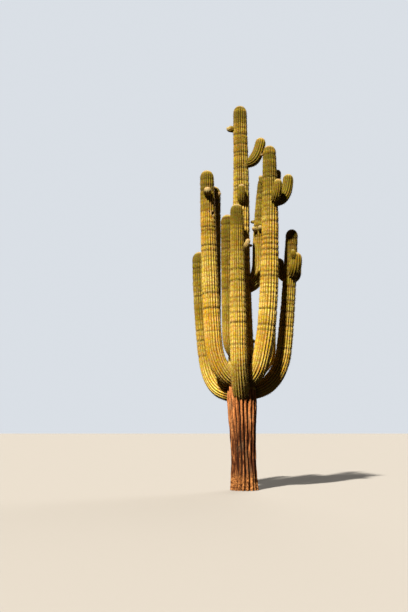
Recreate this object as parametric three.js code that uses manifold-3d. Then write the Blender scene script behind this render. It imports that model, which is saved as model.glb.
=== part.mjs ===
// An old saguaro cactus: one tall ribbed trunk that carries a candelabra of upright arms,
// with short side branches and young buds on the trunk and on the arms.
// Units are millimetres and +Z is up. The origin is the middle of the flat cut at ground level.
// Plan bearings are in degrees, from +X (right in the front view) towards +Y (away from it).
import * as THREE from "three";
import { mergeVertices } from "three/addons/utils/BufferGeometryUtils.js";
import Module from "manifold-3d";

const wasm = await Module();
wasm.setup();

// Driving dimensions
const PLANT_HEIGHT = 10030;
const TRUNK_LEAN = 50; // how far the tip stands towards -X from the foot
const TRUNK_LEAN_HEIGHT = 2600; // the trunk does its leaning below this height
const TRUNK_BOW = 20; // how far the trunk bows back towards +X between the next two heights
const TRUNK_BOW_FOOT = 6400;
const TRUNK_BOW_TOP = 9400;
const TRUNK_RIBS = 19;
const ARM_RIBS = 18;
const BRANCH_RIBS = 13;
const BUD_RIBS = 8;
const RIB_DEPTH = 0.15; // depth of the grooves, as a share of the radius at the crests
const DOME_LENGTH = 1.15; // length of a rounded tip, in radii
const SEAT_GAP = 0.6; // how far a limb's root stays off the crests and grooves of what carries it
const SPLIT_GAP = 0.3; // gap between an arm's elbow and its column
const PATH_STEPS = 160; // stations at which a limb's middle line and its frames are known

// Radius of the trunk at its rib crests, by height: a slight flare at the ground, a waist, a swelling
// where the arms leave, and a long taper up to the tip.
const TRUNK_GIRTH = [
  [0, 362],
  [270, 336],
  [750, 314],
  [1350, 332],
  [2150, 376],
  [2950, 358],
  [4000, 298],
  [5300, 250],
  [6900, 222],
  [8600, 198],
  [9825, 178],
];

// The big arms. Each leaves the trunk at the height `leaves`, bends up through an elbow that ends at the
// height `foot`, `reach` from the trunk's foot in plan at `bearing`, and rises to `top` at `topReach`
// and `topBearing`. handles are the elbow's two control arms, as shares of its run and of its rise.
// bow says how much of the column's rise and of its sideways travel its control point has made. girth is
// the radius at the foot, half way up and below the tip's dome; neck is the root's radius as a share of
// the first. from is the bearing at which the root leaves, where that differs, and slope is its angle
// above the horizontal, where it isn't level.
const ARMS = [
  {
    name: "arm_left_outer", leaves: 2385, foot: 3560, reach: 1110, bearing: 150.5, handles: [0.63, 0.72],
    top: 6180, topReach: 1247, topBearing: 154.4, bow: [0.49, 0.85], girth: [222, 212, 200], neck: 0.9,
  },
  {
    name: "arm_left_front", leaves: 2665, foot: 3750, reach: 825, bearing: 200, handles: [0.34, 0.77],
    top: 8170, topReach: 978, topBearing: 197, bow: [0.33, 0.62], girth: [220, 212, 178], neck: 0.885,
  },
  {
    name: "arm_left_middle", leaves: 3015, foot: 3650, reach: 783, bearing: 167.5, handles: [0.62, 0.68],
    top: 7870, topReach: 763, topBearing: 167.2, bow: [0.4, 0.5], girth: [182, 186, 174], neck: 0.82,
    from: 151,
  },
  {
    name: "arm_left_inner", leaves: 3331, foot: 3900, reach: 525, bearing: 224.8, handles: [0.61, 0.61],
    top: 6970, topReach: 548, topBearing: 222.5, bow: [0.35, 0.6], girth: [176, 178, 172], neck: 0.92,
  },
  {
    name: "arm_front", leaves: 2115, foot: 3350, reach: 727, bearing: 258, handles: [0.6, 0.28],
    top: 7160, topReach: 733, topBearing: 255.5, bow: [0.4, 0.5], girth: [206, 198, 160], neck: 0.99,
    slope: 47, from: 262,
  },
  {
    name: "arm_right_front", leaves: 2710, foot: 3700, reach: 656, bearing: 321.8, handles: [0.65, 0.69],
    top: 8800, topReach: 795, topBearing: 330, bow: [0.24, 1.2], girth: [225, 229, 170], neck: 0.84,
  },
  {
    name: "arm_right_inner", leaves: 5130, foot: 5750, reach: 455, bearing: 6, handles: [0.8, 0.3],
    top: 8070, topReach: 582, topBearing: 5, bow: [0.42, 0.1], girth: [200, 201, 160], neck: 0.9,
  },
  {
    name: "arm_right_outer", leaves: 2415, foot: 3500, reach: 1072, bearing: 11, handles: [0.55, 0.67],
    top: 6715, topReach: 1325, topBearing: 8.5, bow: [0.3, 0.5], girth: [222, 191, 158], neck: 0.88,
    from: 20,
  },
  {
    name: "arm_back_left", leaves: 2760, foot: 3350, reach: 640, bearing: 99, handles: [0.6, 0.7],
    top: 6450, topReach: 675, topBearing: 101, bow: [0.35, 0.6], girth: [186, 184, 168], neck: 0.88,
  },
  {
    name: "arm_back_right", leaves: 2960, foot: 3600, reach: 935, bearing: 42, handles: [0.6, 0.7],
    top: 7330, topReach: 960, topBearing: 40, bow: [0.35, 0.6], girth: [186, 180, 166], neck: 0.88,
    from: 44,
  },
];

// Side branches and buds. Each leaves the middle line of what it grows from at the height `leaves`, goes
// out `out` millimetres at `bearing`, dipping `dip` on the way, and rises `rise` to a tip that leans
// `lean` further out.
const SPROUTS = {
  trunk: [
    { name: "branch_trunk_right", leaves: 8490, bearing: 355, out: 430, dip: 165, rise: 664, lean: 112,
      girth: 150 },
    { name: "branch_trunk_front", leaves: 7290, bearing: 269, out: 315, rise: 510, lean: 5, girth: 98 },
    { name: "bud_trunk_left", leaves: 9395, bearing: 180, out: 332, rise: 66, girth: 96 },
    { name: "bud_trunk_side", leaves: 6245, bearing: 2, out: 300, rise: 20, girth: 39 },
    { name: "bud_trunk_low", leaves: 3725, bearing: 355, out: 385, rise: 20, girth: 42 },
  ],
  arm_left_front: [
    { name: "bud_left_front", leaves: 7500, bearing: 271, out: 240, rise: 120, lean: 120, girth: 120 },
  ],
  arm_left_middle: [
    { name: "bud_left_middle", leaves: 7560, bearing: 300, out: 262, rise: 130, girth: 66 },
  ],
  arm_front: [
    { name: "bud_arm_front", leaves: 6010, bearing: 345, out: 262, rise: 262, lean: 30, girth: 66 },
  ],
  arm_right_front: [
    { name: "branch_front_near", leaves: 7310, bearing: 297, out: 396, dip: 40, rise: 520, girth: 116 },
    { name: "branch_front_side", leaves: 7340, bearing: 9, out: 490, dip: 30, rise: 772, girth: 146 },
    { name: "branch_front_rear", leaves: 7780, bearing: 52, out: 370, rise: 500, lean: 10, girth: 96 },
    { name: "bud_front_inner", leaves: 7800, bearing: 166, out: 232, rise: 275, lean: 10, girth: 64 },
    { name: "bud_front_high", leaves: 8570, bearing: 185, out: 225, rise: 25, girth: 36 },
  ],
  arm_right_inner: [
    { name: "bud_inner_left", leaves: 6610, bearing: 227, out: 300, rise: 110, girth: 62 },
    { name: "bud_inner_right", leaves: 6605, bearing: 263, out: 290, rise: 125, girth: 60 },
    { name: "bud_inner_side", leaves: 6895, bearing: 168, out: 280, rise: 20, girth: 47 },
  ],
  arm_right_outer: [
    { name: "branch_outer_inner", leaves: 5385, bearing: 138, out: 322, rise: 605, girth: 126 },
    { name: "branch_outer_near", leaves: 5490, bearing: 293, out: 364, dip: 15, rise: 560, girth: 161 },
    { name: "branch_outer_side", leaves: 5350, bearing: 36, out: 310, rise: 400, lean: 10, girth: 92 },
  ],
  branch_outer_near: [
    { name: "bud_outer_near", leaves: 5840, bearing: 238, out: 168, rise: 240, girth: 74 },
  ],
};

const SKIN = new THREE.MeshStandardMaterial({ color: 0x8f8434, roughness: 0.85, metalness: 0 });
const BARK = new THREE.MeshStandardMaterial({ color: 0x8a5c3c, roughness: 0.95, metalness: 0 });
const PALE_SKIN = new THREE.MeshStandardMaterial({ color: 0xb09a4c, roughness: 0.85, metalness: 0 });

const mix = THREE.MathUtils.lerp;
const smooth = THREE.MathUtils.smoothstep;

// The point `reach` from the origin in plan at `bearing`, at a height.
function polar(reach, bearing, height) {
  const angle = THREE.MathUtils.degToRad(bearing);
  return new THREE.Vector3(reach * Math.cos(angle), reach * Math.sin(angle), height);
}

// The trunk's middle line: it leans over its foot, stands plumb, and bows a little near the top.
function trunkAxis(height) {
  const lean = TRUNK_LEAN * smooth(height, 0, TRUNK_LEAN_HEIGHT);
  const up = (height - TRUNK_BOW_FOOT) / (TRUNK_BOW_TOP - TRUNK_BOW_FOOT);
  const bow = TRUNK_BOW * Math.sin(Math.PI * THREE.MathUtils.clamp(up, 0, 1));
  return new THREE.Vector3(bow - lean, 0, height);
}

// Share of a limb's radius that is left at `along` in a rounded tip of length `dome` that ends at `end`.
function domeShare(along, end, dome) {
  const into = Math.max(0, along - (end - dome)) / dome;
  return Math.sqrt(Math.max(0, 1 - into * into));
}

// Stations along a limb: an even run up to the dome, then closer ones round the dome.
function stations(start, end, dome, runs, domeSteps) {
  const found = [];
  const domeStart = end - dome;
  for (let i = 0; i <= runs; i++) found.push(mix(start, domeStart, i / runs));
  for (let i = 1; i <= domeSteps; i++) {
    found.push(domeStart + dome * Math.sin((i / domeSteps) * (Math.PI / 2)));
  }
  return found;
}

// A closed ribbed solid: a lathe turned round the limb's length, with every other column of vertices
// drawn in as a groove, then laid along the limb by place(along), which gives an origin and two sides.
function ribbed(along, radiusAt, ribs, place, grow = 0) {
  const profile = along.map((s) => new THREE.Vector2(Math.max(0, radiusAt(s)), s));
  profile.forEach((p) => { if (p.x > 0) p.x += grow; });
  if (profile[0].x > 0) profile.unshift(new THREE.Vector2(0, along[0]));
  if (profile.at(-1).x > 0) profile.push(new THREE.Vector2(0, along.at(-1)));
  const geometry = new THREE.LatheGeometry(profile, 2 * ribs);
  const position = geometry.getAttribute("position");
  for (let i = 0; i < position.count; i++) {
    const column = Math.floor(i / profile.length) % (2 * ribs);
    const { x: radius, y: s } = profile[i % profile.length];
    const groove = column % 2 === 1 ? radius * RIB_DEPTH : 0;
    const angle = (column / (2 * ribs)) * 2 * Math.PI;
    const { origin, across, over } = place(s);
    const point = origin
      .clone()
      .addScaledVector(across, (radius - groove) * Math.cos(angle))
      .addScaledVector(over, (radius - groove) * Math.sin(angle));
    position.setXYZ(i, point.x, point.y, point.z);
  }
  return geometry;
}

// A geometry as a solid that booleans can cut, and such a solid as a geometry again.
function toSolid(geometry) {
  const bare = new THREE.BufferGeometry().setAttribute("position", geometry.getAttribute("position"));
  bare.setIndex(geometry.index);
  const merged = mergeVertices(bare, 1e-2);
  const corners = merged.index.array;
  const triangles = [];
  for (let i = 0; i < corners.length; i += 3) {
    const [a, b, c] = corners.subarray(i, i + 3);
    if (a !== b && b !== c && c !== a) triangles.push(a, b, c);
  }
  return new wasm.Manifold(
    new wasm.Mesh({
      numProp: 3,
      vertProperties: merged.getAttribute("position").array,
      triVerts: new Uint32Array(triangles),
    }),
  );
}

function toGeometry(solid) {
  const { vertProperties, triVerts } = solid.getMesh();
  return new THREE.BufferGeometry()
    .setAttribute("position", new THREE.BufferAttribute(vertProperties, 3))
    .setIndex(new THREE.BufferAttribute(triVerts, 1));
}

// A limb less what carries it, without the slivers that the parent's crests may leave.
function seated(geometry, cutter) {
  const bodies = toSolid(geometry).subtract(cutter).decompose();
  return bodies.reduce((a, b) => (b.volume() > a.volume() ? b : a));
}

// A limb that grows from a parent: its middle line, frames that never twist, and its radius.
function limb({ path, girth, neck, surface }) {
  const curve = new THREE.CatmullRomCurve3(path);
  curve.arcLengthDivisions = 4 * PATH_STEPS;
  const length = curve.getLength();
  const frames = curve.computeFrenetFrames(PATH_STEPS);
  const place = (s) => {
    const at = THREE.MathUtils.clamp(s / length, 0, 1);
    const step = Math.round(at * PATH_STEPS);
    return { origin: curve.getPointAt(at), across: frames.normals[step], over: frames.binormals[step] };
  };
  const dome = DOME_LENGTH * girth.at(-1);
  // The radius swells from the neck to its full size just outside the parent, follows the three
  // girths up the column, and closes in the dome.
  const radiusAt = (s) => {
    const swell = mix(neck, 1, smooth(s, surface, surface + 1.6 * girth[0]));
    const u = THREE.MathUtils.clamp((s - surface) / (length - dome - surface), 0, 1);
    const body = girth[0] * (1 - u) * (1 - 2 * u) + 4 * girth[1] * u * (1 - u) + girth[2] * u * (2 * u - 1);
    return swell * body * domeShare(s, length, dome);
  };
  const pointAtHeight = (height) => {
    for (let i = PATH_STEPS; i >= 0; i--) {
      const point = curve.getPointAt(i / PATH_STEPS);
      if (point.z <= height) return point;
    }
    return curve.getPointAt(0);
  };
  return { length, dome, place, radiusAt, pointAtHeight, radius: girth[1] };
}

// The middle line of a big arm: a cubic elbow out of the trunk, then a gently bowed column.
function armPath(arm) {
  const root = trunkAxis(arm.leaves);
  const foot = polar(arm.reach, arm.bearing, arm.foot);
  const tip = polar(arm.topReach, arm.topBearing, arm.top);
  const [riseShare, spreadShare] = arm.bow;
  const bow = new THREE.Vector3(
    mix(foot.x, tip.x, spreadShare),
    mix(foot.y, tip.y, spreadShare),
    mix(foot.z, tip.z, riseShare),
  );
  const slope = THREE.MathUtils.degToRad(arm.slope ?? 0);
  const out = polar(1, arm.from ?? arm.bearing, Math.tan(slope));
  const up = bow.clone().sub(foot).normalize();
  const elbow = new THREE.CubicBezierCurve3(
    root,
    root.clone().addScaledVector(out, arm.handles[0] * foot.clone().setZ(root.z).distanceTo(root)),
    foot.clone().addScaledVector(up, -arm.handles[1] * (foot.z - root.z)),
    foot,
  );
  const column = new THREE.QuadraticBezierCurve3(foot, bow, tip);
  return { path: [...elbow.getPoints(24), ...column.getPoints(24).slice(1)], elbowEnd: elbow.getLength() };
}

// The middle line of a branch or bud: out from the parent's middle line, then up to its tip.
function sproutPath({ bearing, out, rise, dip = 0, lean = 0 }, root) {
  const outward = polar(1, bearing, 0);
  const tip = root.clone().addScaledVector(outward, out + lean).setZ(root.z + rise);
  const side = root.clone().addScaledVector(outward, out).setZ(root.z - dip);
  return new THREE.QuadraticBezierCurve3(root, side, tip).getPoints(24);
}

const group = new THREE.Group();

function addMesh(name, solid, material) {
  const mesh = new THREE.Mesh(toGeometry(solid), material);
  mesh.name = name;
  group.add(mesh);
}

// The trunk: horizontal sections, so that it ends in a flat cut at the ground.
const TRUNK_TOP = TRUNK_GIRTH.at(-1);
const TRUNK_DOME = PLANT_HEIGHT - TRUNK_TOP[0];
function trunkRadius(height) {
  const above = Math.max(1, TRUNK_GIRTH.findIndex(([level]) => level >= height));
  const [[low, wide], [high, narrow]] = TRUNK_GIRTH.slice(above - 1, above + 1);
  const body = height >= TRUNK_TOP[0] ? TRUNK_TOP[1] : mix(wide, narrow, (height - low) / (high - low));
  return body * domeShare(height, PLANT_HEIGHT, TRUNK_DOME);
}
const trunkPlace = (height) => ({
  origin: trunkAxis(height),
  across: new THREE.Vector3(1, 0, 0),
  over: new THREE.Vector3(0, 1, 0),
});
const trunkStations = [
  ...TRUNK_GIRTH.map(([level]) => level),
  ...[0.38, 0.7, 0.92, 1].map((share) => TRUNK_TOP[0] + share * TRUNK_DOME),
];
const trunkSolid = (grow) => toSolid(ribbed(trunkStations, trunkRadius, TRUNK_RIBS, trunkPlace, grow));
addMesh("trunk", trunkSolid(0), BARK);

// What each parent takes away from the limbs that grow from it, and where its middle line is.
const parents = {
  trunk: { cutter: trunkSolid(SEAT_GAP), axisAt: trunkAxis, radiusAt: trunkRadius },
};

for (const arm of ARMS) {
  const surface = trunkRadius(arm.leaves);
  const { path, elbowEnd } = armPath(arm);
  const grown = limb({ ...arm, path, surface });
  const { length, dome, radiusAt, place } = grown;
  const elbowRuns = [0, 0.25, 0.42, 0.6, 0.8, 1].map((share) => share * elbowEnd);
  const columnRuns = stations(elbowEnd + SPLIT_GAP, length, dome, 3, 4);
  const elbow = seated(ribbed(elbowRuns, radiusAt, ARM_RIBS, place), parents.trunk.cutter);
  addMesh(`${arm.name}_elbow`, elbow, SKIN);
  addMesh(`${arm.name}_column`, toSolid(ribbed(columnRuns, radiusAt, ARM_RIBS, place)), SKIN);
  parents[arm.name] = {
    cutter: toSolid(ribbed(columnRuns, radiusAt, ARM_RIBS, place, SEAT_GAP)),
    axisAt: grown.pointAtHeight,
    radiusAt: () => grown.radius,
  };
}

for (const [parentName, sprouts] of Object.entries(SPROUTS)) {
  const parent = parents[parentName];
  for (const sprout of sprouts) {
    const isBranch = sprout.name.startsWith("branch");
    const ribs = isBranch ? BRANCH_RIBS : BUD_RIBS;
    const girth = [sprout.girth, sprout.girth, 0.92 * sprout.girth];
    const path = sproutPath(sprout, parent.axisAt(sprout.leaves));
    const surface = 0.8 * parent.radiusAt(sprout.leaves);
    const grown = limb({ path, girth, neck: 0.78, surface });
    const runs = stations(0, grown.length, grown.dome, isBranch ? 4 : 3, 3);
    const solid = seated(ribbed(runs, grown.radiusAt, ribs, grown.place), parent.cutter);
    addMesh(sprout.name, solid, isBranch ? SKIN : PALE_SKIN);
    parents[sprout.name] = {
      cutter: toSolid(ribbed(runs, grown.radiusAt, ribs, grown.place, SEAT_GAP)),
      axisAt: grown.pointAtHeight,
      radiusAt: () => grown.radius,
    };
  }
}

export default group;
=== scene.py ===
"""An old saguaro: ribbed trunk and candelabra arms, corky bark, areoles, spines and a nest hole."""
import math

import bmesh
import bpy
import numpy as np
from bpy.props import FloatProperty, FloatVectorProperty, IntProperty, PointerProperty
from mathutils import Color, Matrix, Vector, noise
from mathutils.geometry import interpolate_bezier


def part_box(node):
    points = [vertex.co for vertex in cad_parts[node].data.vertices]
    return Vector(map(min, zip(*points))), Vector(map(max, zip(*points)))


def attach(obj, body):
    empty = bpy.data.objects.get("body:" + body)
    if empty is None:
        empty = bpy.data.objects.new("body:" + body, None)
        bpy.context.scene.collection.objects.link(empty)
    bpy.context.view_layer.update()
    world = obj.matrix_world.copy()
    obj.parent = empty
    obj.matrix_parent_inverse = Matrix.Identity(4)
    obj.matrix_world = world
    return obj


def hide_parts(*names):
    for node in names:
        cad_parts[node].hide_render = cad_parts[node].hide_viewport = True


bl_info = {
    "name": "Saguaro Cactus",
    "version": (1, 0, 0),
    "blender": (4, 5, 0),
    "location": "View3D > Sidebar > Saguaro",
    "description": "Builds a many-armed saguaro with ribbed skin, corky bark, areoles and spines",
    "category": "Add Mesh",
}

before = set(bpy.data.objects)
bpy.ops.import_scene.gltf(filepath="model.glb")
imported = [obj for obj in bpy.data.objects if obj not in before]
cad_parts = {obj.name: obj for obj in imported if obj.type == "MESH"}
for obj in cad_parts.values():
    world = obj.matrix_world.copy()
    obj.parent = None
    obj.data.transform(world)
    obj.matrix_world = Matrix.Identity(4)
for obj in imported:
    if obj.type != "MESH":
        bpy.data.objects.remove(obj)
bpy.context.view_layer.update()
PLANT_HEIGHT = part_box("trunk")[1][2]

# All lengths are in metres, heights are above the ground and bearings in degrees from +X towards +Y.
# A girth is a radius, measured to the crests of the ribs. The trunk's is given at several heights.
TRUNK_GIRTH = (
    (0.0, 0.362), (0.27, 0.336), (0.75, 0.314), (1.35, 0.332), (2.15, 0.376), (2.95, 0.358),
    (4.0, 0.298), (5.3, 0.25), (6.9, 0.222), (8.6, 0.198), (9.825, 0.178),
)
# The trunk leans up to the first height, and bows from the second over the length that follows.
LEAN_ENDS, BOW_STARTS, BOW_RUN = 2.6, 6.4, 3.0

# Each arm: where it leaves the trunk, where its elbow ends, where its tip is, and its three girths.
# handles bend the elbow and bow the column. neck is the root's share of the first girth.
# ripeness says how soon below its tip a limb turns golden, against the others.
ARMS = {
    "left_outer": dict(
        leaves=2.385, foot=3.56, reach=1.11, bearing=150.5, handles=(0.63, 0.72), top=6.18,
        top_reach=1.247, top_bearing=154.4, bow=(0.49, 0.85), girth=(0.222, 0.212, 0.2), neck=0.9),
    "left_front": dict(
        leaves=2.665, foot=3.75, reach=0.825, bearing=200.0, handles=(0.34, 0.77), top=8.17,
        top_reach=0.978, top_bearing=197.0, bow=(0.33, 0.62), girth=(0.22, 0.212, 0.178), neck=0.885,
        ripeness=1.15),
    "left_middle": dict(
        leaves=3.015, foot=3.65, reach=0.783, bearing=167.5, handles=(0.62, 0.68), top=7.87,
        top_reach=0.763, top_bearing=167.2, bow=(0.4, 0.5), girth=(0.182, 0.186, 0.174), neck=0.82,
        root_bearing=151.0),
    "left_inner": dict(
        leaves=3.331, foot=3.9, reach=0.525, bearing=224.8, handles=(0.61, 0.61), top=6.97,
        top_reach=0.548, top_bearing=222.5, bow=(0.35, 0.6), girth=(0.176, 0.178, 0.172), neck=0.92,
        ripeness=0.55),
    "front": dict(
        leaves=2.115, foot=3.35, reach=0.727, bearing=258.0, handles=(0.6, 0.28), top=7.16,
        top_reach=0.733, top_bearing=255.5, bow=(0.4, 0.5), girth=(0.206, 0.198, 0.16), neck=0.99,
        root_bearing=262.0, slope=47.0, ripeness=1.25),
    "right_front": dict(
        leaves=2.71, foot=3.7, reach=0.656, bearing=321.8, handles=(0.65, 0.69), top=8.8,
        top_reach=0.795, top_bearing=330.0, bow=(0.24, 1.2), girth=(0.225, 0.229, 0.17), neck=0.84),
    "right_inner": dict(
        leaves=5.13, foot=5.75, reach=0.455, bearing=6.0, handles=(0.8, 0.3), top=8.07,
        top_reach=0.582, top_bearing=5.0, bow=(0.42, 0.1), girth=(0.2, 0.201, 0.16), neck=0.9),
    "right_outer": dict(
        leaves=2.415, foot=3.5, reach=1.072, bearing=11.0, handles=(0.55, 0.67), top=6.715,
        top_reach=1.325, top_bearing=8.5, bow=(0.3, 0.5), girth=(0.222, 0.191, 0.158), neck=0.88,
        root_bearing=20.0),
    "back_left": dict(
        leaves=2.76, foot=3.35, reach=0.64, bearing=99.0, handles=(0.6, 0.7), top=6.45,
        top_reach=0.675, top_bearing=101.0, bow=(0.35, 0.6), girth=(0.186, 0.184, 0.168), neck=0.88),
    "back_right": dict(
        leaves=2.96, foot=3.6, reach=0.935, bearing=42.0, handles=(0.6, 0.7), top=7.33,
        top_reach=0.96, top_bearing=40.0, bow=(0.35, 0.6), girth=(0.186, 0.18, 0.166), neck=0.88,
        root_bearing=44.0),
}

# Each branch or bud: what it grows from, where it leaves, how far it goes out and up, and its girth.
# felted says how far below its tip a bud is still covered with pale felt.
BRANCHES = {
    "branch_trunk_right": ("trunk", dict(
        leaves=8.49, bearing=355, out=0.43, dip=0.165, rise=0.664, lean=0.112, girth=0.15)),
    "branch_trunk_front": ("trunk", dict(
        leaves=7.29, bearing=269, out=0.315, rise=0.51, lean=0.005, girth=0.098)),
    "branch_front_near": ("right_front", dict(
        leaves=7.31, bearing=297, out=0.396, dip=0.04, rise=0.52, girth=0.116)),
    "branch_front_side": ("right_front", dict(
        leaves=7.34, bearing=9, out=0.49, dip=0.03, rise=0.772, girth=0.146)),
    "branch_front_rear": ("right_front", dict(
        leaves=7.78, bearing=52, out=0.37, rise=0.5, lean=0.01, girth=0.096)),
    "branch_outer_inner": ("right_outer", dict(
        leaves=5.385, bearing=138, out=0.322, rise=0.605, girth=0.126)),
    "branch_outer_near": ("right_outer", dict(
        leaves=5.49, bearing=293, out=0.364, dip=0.015, rise=0.56, girth=0.161)),
    "branch_outer_side": ("right_outer", dict(
        leaves=5.35, bearing=36, out=0.31, rise=0.4, lean=0.01, girth=0.092)),
}
BUDS = {
    "bud_trunk_left": ("trunk", dict(
        leaves=9.395, bearing=180, out=0.332, rise=0.066, girth=0.096, felted=0.13)),
    "bud_trunk_side": ("trunk", dict(leaves=6.245, bearing=2, out=0.3, rise=0.02, girth=0.039)),
    "bud_trunk_low": ("trunk", dict(leaves=3.725, bearing=355, out=0.385, rise=0.02, girth=0.042)),
    "bud_left_front": ("left_front", dict(
        leaves=7.5, bearing=271, out=0.24, rise=0.12, lean=0.12, girth=0.12, felted=0.14)),
    "bud_left_middle": ("left_middle", dict(
        leaves=7.56, bearing=300, out=0.262, rise=0.13, girth=0.066, felted=0.2)),
    "bud_arm_front": ("front", dict(
        leaves=6.01, bearing=345, out=0.262, rise=0.262, lean=0.03, girth=0.066, felted=0.3)),
    "bud_front_inner": ("right_front", dict(
        leaves=7.8, bearing=166, out=0.232, rise=0.275, lean=0.01, girth=0.064)),
    "bud_front_high": ("right_front", dict(
        leaves=8.57, bearing=185, out=0.225, rise=0.025, girth=0.036)),
    "bud_inner_left": ("right_inner", dict(
        leaves=6.61, bearing=227, out=0.3, rise=0.11, girth=0.062, felted=0.18)),
    "bud_inner_right": ("right_inner", dict(
        leaves=6.605, bearing=263, out=0.29, rise=0.125, girth=0.06, felted=0.18)),
    "bud_inner_side": ("right_inner", dict(
        leaves=6.895, bearing=168, out=0.28, rise=0.02, girth=0.047)),
    "bud_outer_near": ("branch_outer_near", dict(
        leaves=5.84, bearing=238, out=0.168, rise=0.24, girth=0.074, felted=0.03)),
}

# The woodpecker's holes: the limb they are in, and the height, bearing and size share of each.
NEST_LIMB = "left_front"
NESTS = ((7.03, 311, 1.0), (7.05, 282, 0.5))
# Closer rings of the skin above and below the first hole, and a hole's width as a share of its height.
NEST_RINGS = np.arange(-0.096, 0.1, 0.008)
HOLE_SHAPE = 0.85

# The length of a tip's dome, and the neck of a branch or bud, as shares of the girth there.
DOME_LENGTH = 1.15
SPROUT_NECK = 0.78
# How much of a tip is felted where the tables don't say.
FELTED = 0.09

# The skins' sides round each rib, and the distance between rings in the bark.
SIDES_PER_RIB = 4
BARK_SIDES_PER_RIB = 8
BARK_STEP = 0.012

# Shares of the girth: how far a ring dips, an areole swells the rib, and a rib rises and falls.
RING_DIP = 0.055
AREOLE_SWELL = 0.012
RIB_LIFT = 0.014
# Shares of the space between ribs: how far a rib wanders, and how much more it does in the bark.
RIB_WANDER = 0.1
BARK_WANDER = 0.14

SEEDS = {"trunk": 11, "arms": 100, "branches": 200, "buds": 300, "spines": 7}

# Of each lamp: how soft it is, its colour, and how high and how far round it stands, in degrees.
KEY_LIGHT = dict(softness=2.5, colour=(1.0, 0.93, 0.82), elevation=46, turn=-27)
BACK_LIGHT = dict(softness=50, colour=(1.0, 0.97, 0.92), elevation=25, turn=158)
# The share of the floor's light that falls back on the plant.
FLOOR_BOUNCE = 0.06

# The camera stands at eye height. Its lens and sensor are in millimetres.
CAMERA_PLACE = (-1.0085, -21.7, 1.6)
CAMERA_TILT = 98
LENS, SENSOR_WIDTH, VIEW_DEPTH = 50, 36, 500


def smooth(value, low, high):
    """0 below low, 1 above high, with a soft ramp between."""
    share = np.clip((np.asarray(value, float) - low) / (high - low), 0, 1)
    return share * share * (3 - 2 * share)


def unit(vectors):
    """The vectors at length 1."""
    return vectors / np.linalg.norm(vectors, axis=1)[:, None]


def polar(reach, bearing, height):
    angle = math.radians(bearing)
    return Vector((reach * math.cos(angle), reach * math.sin(angle), height))


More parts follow.
